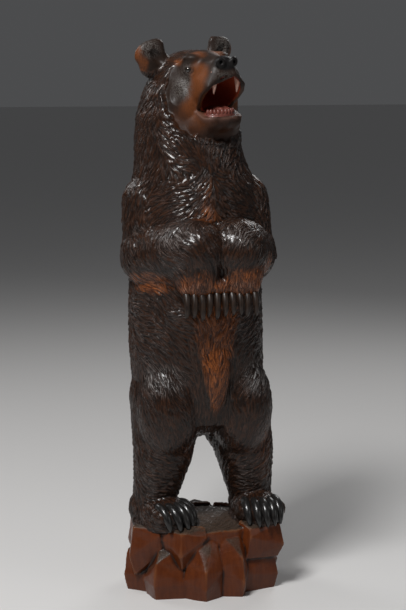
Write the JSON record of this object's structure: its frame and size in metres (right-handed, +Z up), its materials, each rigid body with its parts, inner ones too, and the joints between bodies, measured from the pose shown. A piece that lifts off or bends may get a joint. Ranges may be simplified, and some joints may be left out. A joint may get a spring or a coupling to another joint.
{
  "type": "carved wooden bear statue",
  "caption": "Standing bear with an open mouth and folded forearms, carved in one with its rocky plinth from a block of stained wood.",
  "frame": {"origin": "on the floor under the middle of the plinth", "axes": "+Z up, the bear faces -Y and its left side is at +X"},
  "size_m": [0.2729, 0.2543, 0.9026],
  "materials": {
    "stained_wood": "dark brown stain under a glossy wax, redder on the rocks",
    "dark_glass": "polished, almost black"
  },
  "bodies": {
    "root": {"carved_bear": "stained_wood", "glass_eye_right": "dark_glass", "glass_eye_left": "dark_glass"}
  },
  "joints": []
}
